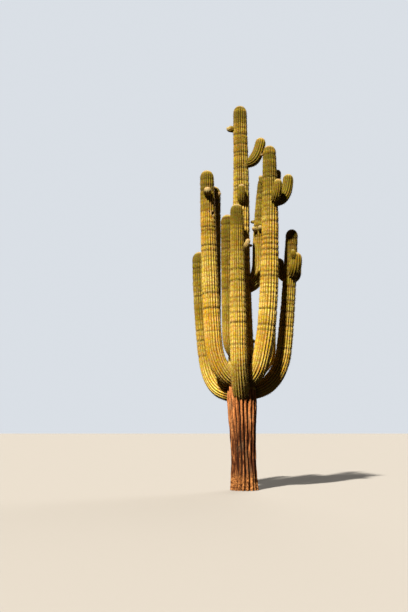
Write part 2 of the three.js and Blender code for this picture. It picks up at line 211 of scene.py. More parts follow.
class Limb:
    """A ribbed limb: its middle line, the two sides along it, its girth and its seeded wear."""

    def __init__(self, name, nodes, points, girth_at, ribs, surface, seed, sides=None):
        self.name, self.nodes, self.ribs, self.surface = name, nodes, ribs, surface
        self.felted, self.ripeness = FELTED, 1.0
        self.points = np.array([tuple(p) for p in points])
        steps = np.linalg.norm(np.diff(self.points, axis=0), axis=1)
        self.along = np.concatenate([[0.0], np.cumsum(steps)])
        self.length = self.along[-1]
        self.girth_at = girth_at
        tangents = unit(np.gradient(self.points, self.along, axis=0))
        if sides:
            self.across = np.tile(sides[0], (len(points), 1))
            self.over = np.tile(sides[1], (len(points), 1))
        else:
            side = Vector(tangents[0]).cross(Vector((0.3, 0.2, 1.0))).normalized()
            carried = [side.copy()]
            for before, after in zip(tangents, tangents[1:]):
                side.rotate(Vector(before).rotation_difference(Vector(after)))
                carried.append(side.copy())
            self.across = np.array([tuple(v) for v in carried])
            self.over = np.cross(tangents, self.across)
        self.random = np.random.default_rng(seed)
        self.rings = self.yearly_rings()
        fine = self.random.uniform(-1, 1, len(self.rings))
        spans = np.arange(-0.5, self.length + 1.0, 0.55)
        coarse = np.interp([ring[0] for ring in self.rings], spans, self.random.uniform(-1, 1, len(spans)))
        self.tones = np.clip(0.75 * fine + 0.6 * coarse, -1, 1)
        knots = max(4, int(self.length / 0.45) + 2)
        self.rib_wander = self.random.uniform(-1, 1, (ribs, knots))
        self.rib_lift = self.random.uniform(-1, 1, (ribs, 2 * knots))

    def yearly_rings(self):
        """Where each year's growth stopped: distance along, half width and depth of each ring."""
        rings = []
        at = self.length - self.random.uniform(0.1, 0.16)
        while at > -0.2:
            strong = self.random.random() < 0.25
            depth = self.random.uniform(0.8, 1.0) if strong else self.random.uniform(0.25, 0.65)
            rings.append((at, self.random.uniform(0.018, 0.028) * (1.4 if strong else 1), depth))
            at -= self.random.uniform(0.08, 0.17)
        return rings[::-1]

    def at(self, s):
        """The middle line's points and two sides at the distances s along the limb."""
        def columns(table):
            return np.stack([np.interp(s, self.along, table[:, i]) for i in range(3)], -1)
        return columns(self.points), columns(self.across), columns(self.over)

    def point_at_height(self, height):
        below = np.nonzero(self.points[:, 2] <= height)[0]
        return Vector(self.points[below[-1]] if len(below) else self.points[0])

    def nearest(self, point):
        """How far along the limb its middle line comes nearest to the point."""
        return self.along[np.linalg.norm(self.points - np.array(point), axis=1).argmin()]

    def ringed(self, s):
        """How much is left of the yearly rings, which the skin has outgrown near the root."""
        return 0.12 + 0.88 * smooth(s - self.surface, 0.5, 1.7)

    def ring(self, s):
        """How deep in a yearly ring the distance s lies, from 0 to 1."""
        depth = np.zeros_like(s)
        for at, width, strength in self.rings:
            depth = np.maximum(depth, strength * np.exp(-(((s - at) / width) ** 2)))
        return depth * self.ringed(s)

    def tone(self, s):
        """The seeded tone of each year's growth, from -1 to 1, which changes over each ring."""
        total = np.full_like(s, self.tones[0])
        for (at, width, _), step in zip(self.rings[1:], np.diff(self.tones)):
            total += step * smooth(s, at - width, at + width)
        return total * self.ringed(s)

    def along_ribs(self, table, s, angle):
        """A seeded table with one row for each rib, read smoothly between ribs and along the limb."""
        rib = self.ribs * angle / math.tau
        row = np.floor(rib).astype(int)
        column = np.clip(s / self.length, 0, 1) * (table.shape[1] - 1.001)
        left = column.astype(int)
        side, step = rib - row, column - left
        here, there = row % self.ribs, (row + 1) % self.ribs
        lower = table[here, left] * (1 - side) + table[there, left] * side
        upper = table[here, left + 1] * (1 - side) + table[there, left + 1] * side
        return lower * (1 - step) + upper * step

    def bark(self, s, angle):
        return np.zeros_like(s)

    def skin(self, s, angle, ribs):
        """Points of the skin at distances s and angles, with the ways out, crests and bark there."""
        bark = self.bark(s, angle)
        crest = np.abs(np.cos(self.ribs * angle / 2))
        rib = np.round(self.ribs * angle / math.tau).astype(int) % self.ribs
        closing = smooth(self.length - s, 0.02, 0.25)
        lift = RIB_LIFT * closing * self.along_ribs(self.rib_lift, s, angle)
        radius = self.girth_at(s) * (1 - RING_DIP * self.ring(s) * closing * (1 - bark)) * (1 + lift)
        groove = (1 - bark) * (1 - crest) ** 1.1 + bark * smooth(1 - crest, 0.08, 0.62)
        radius *= 1 - ribs.depth * (1 + 0.2 * bark) * groove
        bump = np.cos(math.tau * (self.length - s) / ribs.spacing + math.pi * (rib % 2))
        radius *= 1 + AREOLE_SWELL * (1 - bark) * crest**4 * bump
        wander = (RIB_WANDER + BARK_WANDER * bark) * closing * self.along_ribs(self.rib_wander, s, angle)
        turned = angle + math.tau / self.ribs * wander
        origin, across, over = self.at(s)
        radial = across * np.cos(turned)[..., None] + over * np.sin(turned)[..., None]
        return origin + radial * radius[..., None], radial, crest, bark


class Trunk(Limb):
    """The trunk, whose foot is sheathed in corky bark up to a ragged edge between the arms."""

    def bark(self, s, angle):
        edge = self.bark_height + 0.3 * self.along_ribs(self.rib_wander[:, :2], 0 * s, angle)
        return 1 - smooth(s, edge - 0.15, edge + 0.25)


def dome_share(s, end, dome):
    into = np.maximum(0, s - (end - dome)) / dome
    return np.sqrt(np.maximum(0, 1 - into * into))


def trunk_girth(s):
    heights, radii = zip(*TRUNK_GIRTH)
    return np.interp(s, heights, radii) * dome_share(s, PLANT_HEIGHT, PLANT_HEIGHT - heights[-1])


def grown_girth(girth, neck, surface, length):
    """Girth of a limb: it swells from its neck, follows three girths and closes in a dome."""
    dome = DOME_LENGTH * girth[2]

    def at(s):
        swell = neck + (1 - neck) * smooth(s, surface, surface + 1.6 * girth[0])
        u = np.clip((s - surface) / (length - dome - surface), 0, 1)
        body = girth[0] * (1 - u) * (1 - 2 * u) + 4 * girth[1] * u * (1 - u) + girth[2] * u * (2 * u - 1)
        return swell * body * dome_share(s, length, dome)
    return at


def path_length(points):
    return sum((b - a).length for a, b in zip(points, points[1:]))


def make_trunk(settings):
    heights = np.linspace(0, PLANT_HEIGHT, 400)
    upper = np.clip((heights - BOW_STARTS) / BOW_RUN, 0, 1)
    offset = settings.bow * np.sin(math.pi * upper) - settings.lean * smooth(heights, 0, LEAN_ENDS)
    points = [Vector((x, 0, z)) for x, z in zip(offset, heights)]
    sides = ((1.0, 0.0, 0.0), (0.0, 1.0, 0.0))
    trunk = Trunk("trunk", ["trunk"], points, trunk_girth, settings.ribs, 0.0, SEEDS["trunk"], sides)
    trunk.bark_height = settings.bark_height
    return trunk


def make_arm(name, arm, trunk, ribs, seed):
    root = trunk.point_at_height(arm["leaves"])
    foot = polar(arm["reach"], arm["bearing"], arm["foot"])
    tip = polar(arm["top_reach"], arm["top_bearing"], arm["top"])
    rise, spread = arm["bow"]
    bow = Vector((
        foot.x + spread * (tip.x - foot.x),
        foot.y + spread * (tip.y - foot.y),
        foot.z + rise * (tip.z - foot.z),
    ))
    slope = math.radians(arm.get("slope", 0))
    out = polar(1, arm.get("root_bearing", arm["bearing"]), math.tan(slope))
    up = (bow - foot).normalized()
    run = (Vector((foot.x, foot.y, root.z)) - root).length
    points = interpolate_bezier(
        root, root + out * arm["handles"][0] * run,
        foot - up * arm["handles"][1] * (foot.z - root.z), foot, 60,
    )
    points += interpolate_bezier(foot, foot.lerp(bow, 2 / 3), tip.lerp(bow, 2 / 3), tip, 120)[1:]
    surface = float(trunk_girth(arm["leaves"]))
    girth_at = grown_girth(arm["girth"], arm["neck"], surface, path_length(points))
    nodes = [f"arm_{name}_elbow", f"arm_{name}_column"]
    return Limb(f"arm_{name}", nodes, points, girth_at, ribs, surface, seed)


def make_sprout(name, parent, sprout, ribs, seed):
    root = parent.point_at_height(sprout["leaves"])
    out = polar(1, sprout["bearing"], 0)
    tip = root + out * (sprout["out"] + sprout.get("lean", 0))
    tip.z = root.z + sprout["rise"]
    side = root + out * sprout["out"]
    side.z = root.z - sprout.get("dip", 0)
    points = interpolate_bezier(root, root.lerp(side, 2 / 3), tip.lerp(side, 2 / 3), tip, 60)
    girth = (sprout["girth"], sprout["girth"], 0.92 * sprout["girth"])
    length = path_length(points)
    surface = 0.8 * float(parent.girth_at(parent.nearest(root)))
    girth_at = grown_girth(girth, SPROUT_NECK, surface, length)
    return Limb(name, [name], points, girth_at, ribs, surface, seed)


def all_limbs(scene):
    """The trunk, the arms, the branches and the buds, in that order."""
    ribs = scene.saguaro_ribs
    trunk = make_trunk(scene.saguaro_trunk)
    limbs = {"trunk": trunk}
    for seed, (name, arm) in enumerate(ARMS.items(), SEEDS["arms"]):
        limbs[name] = make_arm(name, arm, trunk, ribs.arm_ribs, seed)
        limbs[name].ripeness = arm.get("ripeness", 1.0)
    for seed, (name, (parent, sprout)) in enumerate(BRANCHES.items(), SEEDS["branches"]):
        limbs[name] = make_sprout(name, limbs[parent], sprout, ribs.branch_ribs, seed)
    for seed, (name, (parent, sprout)) in enumerate(BUDS.items(), SEEDS["buds"]):
        limbs[name] = make_sprout(name, limbs[parent], sprout, ribs.bud_ribs, seed)
        limbs[name].felted = sprout.get("felted", FELTED)
    return limbs


def nest_places(limbs):
    """Of each hole: its centre on the limb's skin, the direction it faces, its place and its size."""
    limb = limbs[NEST_LIMB]
    places = []
    for height, bearing, size in NESTS:
        middle = limb.point_at_height(height)
        facing = polar(1, bearing, 0)
        s = limb.nearest(middle)
        places.append((middle + facing * 0.96 * float(limb.girth_at(s)), facing, s, size))
    return places


# Materials


def add_node(tree, kind, inputs, **settings):
    node = tree.nodes.new(kind)
    for name, value in settings.items():
        setattr(node, name, value)
    for key, value in inputs.items():
        if isinstance(value, bpy.types.NodeSocket):
            tree.links.new(value, node.inputs[key])
        else:
            node.inputs[key].default_value = (*value, 1.0) if isinstance(value, Color) else value
    return node


def attribute(tree, name):
    return add_node(tree, "ShaderNodeAttribute", {}, attribute_name=name).outputs["Fac"]


def mottle(tree, scale, detail=3.0, roughness=0.55, height=1.0):
    """Noise on the object's coordinates, drawn out along Z where height is under 1."""
    coords = add_node(tree, "ShaderNodeTexCoord", {}).outputs["Object"]
    placed = add_node(tree, "ShaderNodeMapping", {"Vector": coords, "Scale": (1, 1, height)})
    inputs = {"Vector": placed.outputs["Vector"], "Scale": scale, "Detail": detail, "Roughness": roughness}
    return add_node(tree, "ShaderNodeTexNoise", inputs).outputs["Fac"]


def ramp(tree, value, low, high, to_low=0.0, to_high=1.0):
    inputs = {"Value": value, "From Min": low, "From Max": high, "To Min": to_low, "To Max": to_high}
    return add_node(tree, "ShaderNodeMapRange", inputs, interpolation_type="SMOOTHSTEP").outputs["Result"]


def maths(tree, operation, first, second):
    node = add_node(tree, "ShaderNodeMath", {0: first, 1: second}, operation=operation)
    return node.outputs["Value"]


def times(tree, first, second):
    return maths(tree, "MULTIPLY", first, second)


def plus(tree, first, second):
    return maths(tree, "ADD", first, second)


def blend(tree, factor, first, second):
    inputs = {"Factor": factor, 6: first, 7: second}
    return add_node(tree, "ShaderNodeMix", inputs, data_type="RGBA").outputs[2]


def new_material(name):
    material = bpy.data.materials.new(name)
    material.use_nodes = True
    material.node_tree.nodes.clear()
    return material, material.node_tree


def finish_material(tree, colour, roughness, height, distance, strength):
    bump = add_node(tree, "ShaderNodeBump", {"Height": height, "Distance": distance, "Strength": strength})
    shader = add_node(tree, "ShaderNodeBsdfPrincipled", {
        "Base Color": colour, "Roughness": roughness, "Specular IOR Level": 0.1,
        "Normal": bump.outputs["Normal"],
    })
    add_node(tree, "ShaderNodeOutputMaterial", {"Surface": shader.outputs["BSDF"]})


def skin_colour(tree, skin):
    """Olive young skin that gilds with age, painted shade in the grooves and the root's joint, dark yearly
    rings, tip felt.
    """
    crest = attribute(tree, "crest")
    patches = times(tree, plus(tree, mottle(tree, 1.7, 4.0), -0.5), 2.5)
    aged = plus(tree, attribute(tree, "age"), patches)
    aged = plus(tree, aged, times(tree, attribute(tree, "tone"), 0.45))
    aged = ramp(tree, aged, 0.1, 3.9)
    flesh = blend(tree, aged, skin.olive, skin.olive_light)
    gilt = blend(tree, aged, skin.gold_young, skin.gold)
    streaks = ramp(tree, mottle(tree, 50.0, 4.0, height=0.35), 0.28, 0.6)
    colour = blend(tree, times(tree, ramp(tree, crest, 0.25, 0.9), streaks), flesh, gilt)
    rusty = ramp(tree, mottle(tree, 1.3, height=0.7), 0.42, 0.66, 0.0, 0.7)
    rusty = times(tree, rusty, ramp(tree, aged, 0, 1, 0.5, 1.0))
    colour = blend(tree, rusty, colour, skin.rust)
    year = ramp(tree, attribute(tree, "tone"), -0.7, 0.8, 0.0, 0.9)
    colour = blend(tree, times(tree, year, ramp(tree, aged, 0, 1, 1.0, 0.6)), colour, flesh)
    # Painted shade: the grooves between the ribs are darkened towards near-black, a little less on old skin.
    painted_groove_shade = times(tree, ramp(tree, crest, 0.42, 0.05), ramp(tree, aged, 0, 1, 0.85, 0.8))
    colour = blend(tree, painted_groove_shade, colour, skin.groove)
    ring = times(tree, attribute(tree, "ring"), ramp(tree, mottle(tree, 11.0, 4.0), 0.3, 0.6, 0.4, 1.0))
    colour = blend(tree, ring, colour, skin.ring)
    specks = ramp(tree, mottle(tree, 7.0, 6.0, 0.75), 0.66, 0.74, 0.0, 0.7)
    colour = blend(tree, specks, colour, skin.cork_and_root_shade)
    felt = times(tree, attribute(tree, "felt"), ramp(tree, mottle(tree, 45.0), 0.3, 0.65, 0.55, 1.0))
    felt = times(tree, felt, ramp(tree, crest, 0.0, 0.75, 0.25, 1.0))
    colour = blend(tree, felt, colour, skin.felt)
    # Painted shade: the skin turns to the cork colour where the limb leaves its parent, standing for the
    # shade in the joint.
    root = ramp(tree, attribute(tree, "from_root"), 0.12, -0.02, 0.0, 0.75)
    colour = blend(tree, root, colour, skin.cork_and_root_shade)
    bands = mottle(tree, 12.0, 4.0, height=1.6)
    flecks = mottle(tree, 28.0, 4.0, height=0.6)
    tinted = add_node(tree, "ShaderNodeHueSaturation", {
        "Hue": ramp(tree, bands, 0.34, 0.66, 0.48, 0.53),
        "Saturation": ramp(tree, flecks, 0.32, 0.68, 0.9, 1.15),
        "Color": colour,
    })
    return tinted.outputs["Color"]


def bark_colour(tree, skin):
    """Corky plates between deep pleats and cracks laid with painted shade, greyed in patches, darker lower
    down and crumbling near the ground.
    """
    crest = attribute(tree, "crest")
    from_root = attribute(tree, "from_root")
    streaks = mottle(tree, 26.0, 5.0, height=0.13)
    plates = blend(tree, ramp(tree, streaks, 0.36, 0.62), skin.bark, skin.bark_light)
    # The plates grow darker towards the bottom, in streaks.
    dark_streaks = ramp(tree, streaks, 0.7, 0.46, 0.25, 1.0)
    darker_below = times(tree, ramp(tree, from_root, 2.0, 1.2), dark_streaks)
    plates = blend(tree, darker_below, plates, skin.bark_dark)
    grey = ramp(tree, mottle(tree, 4.5, 4.0, height=0.4), 0.54, 0.68)
    plates = blend(tree, times(tree, grey, 0.55), plates, skin.bark_grey)
    # Painted shade: dark cracks across the plates.
    crack_shade = ramp(tree, mottle(tree, 15.0, 6.0, 0.7, height=3.2), 0.45, 0.36)
    plates = blend(tree, times(tree, crack_shade, 0.75), plates, skin.pleat_shade)
    low = ramp(tree, from_root, 0.5, 0.26, 0.0, 1.0)
    crumbs = ramp(tree, mottle(tree, 20.0, 5.0, 0.7, height=2.6), 0.42, 0.6)
    foot = blend(tree, crumbs, skin.bark_dark, skin.foot)
    plates = blend(tree, low, plates, foot)
    # Painted shade: near-black laid into the pleats between the plates, weaker in the crumbling foot.
    ragged = plus(tree, crest, times(tree, mottle(tree, 24.0), 0.25))
    painted_pleat_shade = times(tree, ramp(tree, ragged, 0.86, 0.46), ramp(tree, low, 0, 1, 1.0, 0.55))
    return blend(tree, painted_pleat_shade, plates, skin.pleat_shade)


def skin_material(name, skin):
    material, tree = new_material(name)
    colour = blend(tree, attribute(tree, "scar"), skin_colour(tree, skin), skin.scar)
    # Painted shade: the inside of the nest hole is laid with the pleats' near-black.
    colour = blend(tree, attribute(tree, "hole_shade"), colour, skin.pleat_shade)
    grain = plus(tree, mottle(tree, 160.0), times(tree, mottle(tree, 38.0), 1.4))
    roughness = ramp(tree, mottle(tree, 30.0), 0.3, 0.7, 0.6, 0.82)
    finish_material(tree, colour, roughness, grain, 0.004, 0.6)
    return material


def trunk_material(name, skin):
    material, tree = new_material(name)
    ragged = times(tree, plus(tree, mottle(tree, 9.0, 5.0), -0.5), 1.3)
    barked = ramp(tree, plus(tree, attribute(tree, "bark"), ragged), 0.35, 0.65)
    colour = blend(tree, barked, skin_colour(tree, skin), bark_colour(tree, skin))
    fine = mottle(tree, 150.0)
    rough = mottle(tree, 34.0, 6.0, 0.7, height=0.5)
    height = plus(tree, fine, times(tree, rough, ramp(tree, barked, 0, 1, 1.4, 5.0)))
    finish_material(tree, colour, ramp(tree, barked, 0, 1, 0.68, 0.92), height, 0.006, 0.8)
    return material


def plain_material(name, colour, roughness):
    material, tree = new_material(name)
    shader = add_node(tree, "ShaderNodeBsdfPrincipled", {
        "Base Color": colour, "Roughness": roughness, "Specular IOR Level": 0.2,
    })
    add_node(tree, "ShaderNodeOutputMaterial", {"Surface": shader.outputs["BSDF"]})
    return material


# Meshes


def add_object(name, data):
    made = bpy.data.objects.new(name, data)
    bpy.context.scene.collection.objects.link(made)
    return made


def add_piece(name, mesh, materials, nodes=()):
    for material in materials:
        mesh.materials.append(material)
    piece = add_object(name, mesh)
    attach(piece, "root")
    if nodes:
        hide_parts(*nodes)


def spun_tube(stations, sides):
    """A closed tube of radius 1 round Z, with a ring at each station and a pole at each end."""
    bm = bmesh.new()
    line = [bm.verts.new((0, 0, stations[0]))]
    line += [bm.verts.new((1, 0, s)) for s in stations[:-1]]
    line.append(bm.verts.new((0, 0, stations[-1])))
    edges = [bm.edges.new(pair) for pair in zip(line, line[1:])]
    bmesh.ops.spin(bm, geom=line + edges, cent=(0, 0, 0), axis=(0, 0, 1), angle=math.tau,
                   steps=sides, use_merge=True)
    bmesh.ops.remove_doubles(bm, verts=bm.verts, dist=1e-5)
    bmesh.ops.recalc_face_normals(bm, faces=bm.faces)
    return bm


def mesh_of(bm, name):
    mesh = bpy.data.meshes.new(name)
    bm.to_mesh(mesh)
    bm.free()
    return mesh


def set_attribute(mesh, name, values):
    layer = mesh.attributes.new(name, "FLOAT", "POINT")
    layer.data.foreach_set("value", np.asarray(values, np.float32))


def read_points(mesh):
    co = np.empty(3 * len(mesh.vertices))
    mesh.vertices.foreach_get("co", co)
    return co.reshape(-1, 3)


def limb_stations(limb, step, start):
    """Even stations up to the dome's top, where three closer ones round off the tip."""
    count = math.ceil((limb.length - start) / step)
    stations = np.linspace(start, limb.length, count + 1)
    ends = limb.length - step * np.array([0.5, 0.25, 0.1])
    return np.concatenate([stations[:-1], ends, stations[-1:]])


def ribbed_mesh(limb, ribs, stations, sides_per_rib):
    """The limb's skin, a spun tube with ribs, rings and bumps, and its ways out and bark."""
    mesh = mesh_of(spun_tube([float(s) for s in stations], limb.ribs * sides_per_rib), limb.name)
    co = read_points(mesh)
    on_skin = np.hypot(co[:, 0], co[:, 1]) > 0.5
    s, angle = co[:, 2], np.arctan2(co[:, 1], co[:, 0]) % math.tau
    skin, radial, crest, bark = limb.skin(s, angle, ribs)
    placed = np.where(on_skin[:, None], skin, limb.at(s)[0])
    mesh.vertices.foreach_set("co", placed.ravel())
    set_attribute(mesh, "crest", np.where(on_skin, crest, 1.0))
    set_attribute(mesh, "ring", limb.ring(s))
    set_attribute(mesh, "tone", limb.tone(s))
    set_attribute(mesh, "age", limb.ripeness * (limb.length - s))
    set_attribute(mesh, "from_root", s - limb.surface)
    set_attribute(mesh, "felt", 1 - smooth(limb.length - s, 0.2 * limb.felted, limb.felted))
    set_attribute(mesh, "bark", bark)
    mesh.shade_smooth()
    return mesh, radial, bark.astype(np.float32)


def roughen_bark(mesh, radial, bark, relief):
    """Lifts and cracks the corky plates, most of all in the crumbling zone near the ground."""
    co = read_points(mesh)
    for index in np.nonzero((bark > 0.02) & (co[:, 2] > 0.001))[0]:
        x, y, z = co[index]
        low = max(0.0, 1 - z / 0.42)
        plates = noise.fractal(Vector((x * 8, y * 8, z * 3)), 0.9, 2.1, 3)
        crumbs = noise.fractal(Vector((x * 20, y * 20, z * 30)), 0.8, 2.0, 3)
        crack = max(0.0, 0.1 - abs(noise.noise(Vector((x * 5, y * 5, z * (7 + 9 * low)))))) * 10
        push = bark[index] * relief * (plates + crumbs * (0.4 + 1.3 * low) - crack * (0.6 + low))
        co[index] += radial[index] * min(push, relief)
        co[index, 2] = max(co[index, 2], 0.0)
    mesh.vertices.foreach_set("co", co.ravel())


def as_arrays(bm):
    """The corners and triangles of a small closed shape, whose faces are turned outwards."""
    bmesh.ops.remove_doubles(bm, verts=bm.verts, dist=1e-6)
    bmesh.ops.triangulate(bm, faces=bm.faces)
    bmesh.ops.recalc_face_normals(bm, faces=bm.faces)
    bm.verts.index_update()
    corners = np.array([tuple(v.co) for v in bm.verts])
    faces = np.array([[v.index for v in f.verts] for f in bm.faces])
    bm.free()
    return corners, faces


def make_tuft(count, length, thickness, rng):
    """One areole's spines: a few long ones that stand out, in a ring of short spreading ones."""
    bm = bmesh.new()
    for i in range(count):
        central = i < max(2, count // 3)
        size = length * (rng.uniform(0.75, 1.15) if central else rng.uniform(0.35, 0.6))
        spread = rng.uniform(10, 40) if central else rng.uniform(58, 80)
        turn = 360 * i / count + rng.uniform(-25, 25)
        made = bmesh.ops.create_cone(bm, cap_ends=True, cap_tris=True, segments=3, radius1=thickness,
                                     radius2=0.0, depth=size)["verts"]
        bmesh.ops.translate(bm, verts=made, vec=(0, 0, size / 2 - 0.002))
        turned = Matrix.Rotation(math.radians(turn), 3, "Z") @ Matrix.Rotation(math.radians(spread), 3, "X")
        bmesh.ops.rotate(bm, verts=made, cent=(0, 0, 0), matrix=turned)
    return as_arrays(bm)


def make_pad(radius):
    """The small felted cushion that each tuft of spines grows from."""
    bm = bmesh.new()
    made = bmesh.ops.create_cone(bm, cap_ends=True, cap_tris=True, segments=5, radius1=radius,
                                 radius2=0.0, depth=radius)["verts"]
    bmesh.ops.scale(bm, verts=made, vec=(0.8, 1.2, 1.0))
    return as_arrays(bm)


def areoles(limb, ribs, lowest):
    """Places and frames of the areoles along every rib's crest, from the tip down to lowest."""
    rows = []
    for rib in range(limb.ribs):
        first = ribs.spacing * (0.55 if rib % 2 else 0.05) + 0.008
        s = np.arange(limb.length - first, lowest, -ribs.spacing)
        s = s + limb.random.uniform(-0.12, 0.12, len(s)) * ribs.spacing
        s = np.minimum(s, limb.length - 0.004)
        angle = np.full(len(s), math.tau * rib / limb.ribs)
        point, radial, _, bark = limb.skin(s, angle, ribs)
        ahead = limb.skin(s + 0.003, angle, ribs)[0]
        behind = limb.skin(s - 0.003, angle, ribs)[0]
        up = unit(ahead - behind)
        side = unit(np.cross(up, radial))
        frames = np.stack([side, up, np.cross(side, up)], -1)
        keep = bark < 0.5
        rows.append((point[keep], frames[keep], limb.length - s[keep]))
    return [np.concatenate(column) for column in zip(*rows)]


def scattered(name, kinds, points, frames, sizes, chosen, material_of):
    """One mesh made of copies of the given small shapes, one at each point."""
    corners, faces, shades, total = [], [], [], 0
    for index, (shape, triangles) in enumerate(kinds):
        here = np.nonzero(chosen == index)[0]
        placed = np.einsum("nij,kj->nki", frames[here] * sizes[here, None, None], shape)
        placed += points[here][:, None, :]
        corners.append(placed.reshape(-1, 3))
        starts = total + len(shape) * np.arange(len(here))
        faces.append((triangles[None] + starts[:, None, None]).reshape(-1, 3))
        shades.append(np.repeat(material_of[here], len(triangles)))
        total += len(shape) * len(here)
    mesh = bpy.data.meshes.new(name)
    mesh.from_pydata(np.concatenate(corners), [], np.concatenate(faces))
    mesh.polygons.foreach_set("material_index", np.concatenate(shades).astype(np.int32))
    mesh.update()
    return mesh


# Settings


def colour_setting(name, description, default):
    return FloatVectorProperty(name=name, description=description, default=default, subtype="COLOR",
                               min=0, max=1, size=3)


def length_setting(name, description, default):
    return FloatProperty(name=name, description=description, default=default, min=0, unit="LENGTH",
                         subtype="DISTANCE", precision=4)


def strength_setting(name, description, default):
    return FloatProperty(name=name, description=description, default=default, min=0)


class SaguaroTrunkSettings(bpy.types.PropertyGroup):
    ribs: IntProperty(name="Ribs", description="Ribs round the trunk", default=19, min=5)
    lean: length_setting("Lean", "How far the trunk leans to the left over its foot", 0.05)
    bow: length_setting("Bow", "How far the trunk bows back to the right near its top", 0.02)
    bark_height: length_setting("Bark height", "Height that the corky bark has reached", 2.55)
    bark_relief: length_setting("Bark relief", "Depth of the bark's lifted plates", 0.01)


class SaguaroRibSettings(bpy.types.PropertyGroup):
    arm_ribs: IntProperty(name="Arm ribs", description="Ribs round each arm", default=18, min=5)
    branch_ribs: IntProperty(name="Branch ribs", description="Ribs round each side branch", default=13,
                             min=5)
    bud_ribs: IntProperty(name="Bud ribs", description="Ribs round each bud", default=12, min=5)
    depth: FloatProperty(name="Rib depth", description="Depth of the grooves, as a share of the girth",
                         default=0.18, min=0.02, max=0.4, subtype="FACTOR")
    spacing: length_setting("Areole spacing", "Distance between areoles along a rib", 0.048)


class SaguaroSkinSettings(bpy.types.PropertyGroup):
    olive: colour_setting("Young olive", "Skin near the tips", (0.09, 0.063, 0.0027))
    olive_light: colour_setting("Old olive", "Skin lower down", (0.29, 0.158, 0.009))
    gold_young: colour_setting("Young gilt", "Crests of the ribs near the tips", (0.31, 0.208, 0.026))
    gold: colour_setting("Old gilt", "Crests of the ribs lower down", (0.76, 0.575, 0.168))
    rust: colour_setting("Rusty gilt", "Warmer patches of the skin", (0.46, 0.225, 0.03))
    # Painted shade: near-black laid into the bottom of the ribs' grooves.
    groove: colour_setting("Groove", "Bottom of the grooves", (0.024, 0.015, 0.0015))
    ring: colour_setting("Yearly ring", "Rings where a year's growth stopped", (0.05, 0.028, 0.003))
    felt: colour_setting("Felt", "Young felt on the tips", (0.48, 0.34, 0.16))
    # The cork colour serves the woody specks, and is painted shade where each limb leaves its parent.
    cork_and_root_shade: colour_setting("Cork", "Woody skin at the roots and in specks", (0.106, 0.059, 0.015))
    scar: colour_setting("Scar", "Healed skin round the nest hole", (0.3, 0.19, 0.07))
    bark: colour_setting("Bark", "Reddish corky plates", (0.2, 0.058, 0.013))
    bark_light: colour_setting("Light bark", "Sun-bleached edges of the plates", (0.59, 0.228, 0.072))
    bark_dark: colour_setting("Dark bark", "Darker plates lower down", (0.072, 0.02, 0.006))
    bark_grey: colour_setting("Grey bark", "Old weathered patches", (0.18, 0.11, 0.055))
    # Painted shade: near-black for the bark's pleats and cracks and for the inside of the nest hole.
    pleat_shade: colour_setting("Pleat", "Deep pleats and cracks in the bark", (0.008, 0.004, 0.002))
    foot: colour_setting("Foot", "Crumbling bark near the ground", (0.5, 0.21, 0.06))


class SaguaroSpineSettings(bpy.types.PropertyGroup):
    count: IntProperty(name="Spines", description="Spines in each areole", default=8, min=3)
    length: length_setting("Length", "Length of the long central spines", 0.046)
    thickness: length_setting("Thickness", "Radius of a spine at its base", 0.0014)
    pad: length_setting("Areole radius", "Radius of the felted cushion under the spines", 0.0085)
    gold: colour_setting("Gold spine", "Young spines", (0.26, 0.156, 0.02))
    straw: colour_setting("Straw spine", "Grown spines", (0.5, 0.36, 0.105))
    ash: colour_setting("Ash spine", "Old spines", (0.19, 0.13, 0.045))
    pad_colour: colour_setting("Areole", "Felt of the areoles", (0.15, 0.088, 0.015))


class SaguaroNestSettings(bpy.types.PropertyGroup):
    width: length_setting("Hole width", "Width of the woodpecker's nest hole", 0.085)
    depth: length_setting("Hole depth", "Depth of the nest hole", 0.11)


class SaguaroStageSettings(bpy.types.PropertyGroup):
    floor: colour_setting("Floor", "Plain floor", (0.29, 0.276, 0.258))
    backdrop: colour_setting("Backdrop", "Plain pale backdrop", (0.7, 0.74, 0.79))
    fill_colour: colour_setting("Fill colour", "Light from all round", (1.0, 0.96, 0.9))
    key: strength_setting("Key light", "Strength of the warm key light", 10.4)
    back: strength_setting("Back light", "Strength of the soft light from behind", 3.6)
    fill: strength_setting("Fill light", "Strength of the light all round", 0.02)


# Operators


class SAGUARO_OT_trunk(bpy.types.Operator):
    """Adds the trunk's ribbed skin with the corky bark at its foot"""
    bl_idname = "saguaro.add_trunk"
    bl_label = "Add Trunk"

    def execute(self, context):
        scene = context.scene
        ribs = scene.saguaro_ribs
        trunk = all_limbs(scene)["trunk"]
        bark_top = scene.saguaro_trunk.bark_height
        bark_rings = np.arange(0, bark_top - 0.004, BARK_STEP)
        stations = np.concatenate([bark_rings, limb_stations(trunk, ribs.spacing / 2.5, bark_top)])
        mesh, radial, bark = ribbed_mesh(trunk, ribs, stations, BARK_SIDES_PER_RIB)
        roughen_bark(mesh, radial, bark, scene.saguaro_trunk.bark_relief)
        material = trunk_material("trunk_skin_and_bark", scene.saguaro_skin)
        add_piece("skin_trunk", mesh, [material], trunk.nodes)
        return {"FINISHED"}


def ribbed_skin(scene):
    """The material that all arms, branches and buds share."""
    found = bpy.data.materials.get("ribbed_skin")
    return found or skin_material("ribbed_skin", scene.saguaro_skin)


def add_skins(scene, names):
    limbs = all_limbs(scene)
    ribs = scene.saguaro_ribs
    for name in names:
        limb = limbs[name]
        start = max(0.0, limb.surface - 0.55 * float(limb.girth_at(limb.surface)))
        stations = limb_stations(limb, ribs.spacing / 3, start)
        if name == NEST_LIMB:
            s = nest_places(limbs)[0][2]
            apart = stations[np.abs(stations - s) > 0.1]
            stations = np.sort(np.concatenate([apart, s + NEST_RINGS]))
        mesh = ribbed_mesh(limb, ribs, stations, SIDES_PER_RIB)[0]
        add_piece(f"skin_{limb.name}", mesh, [ribbed_skin(scene)], limb.nodes)


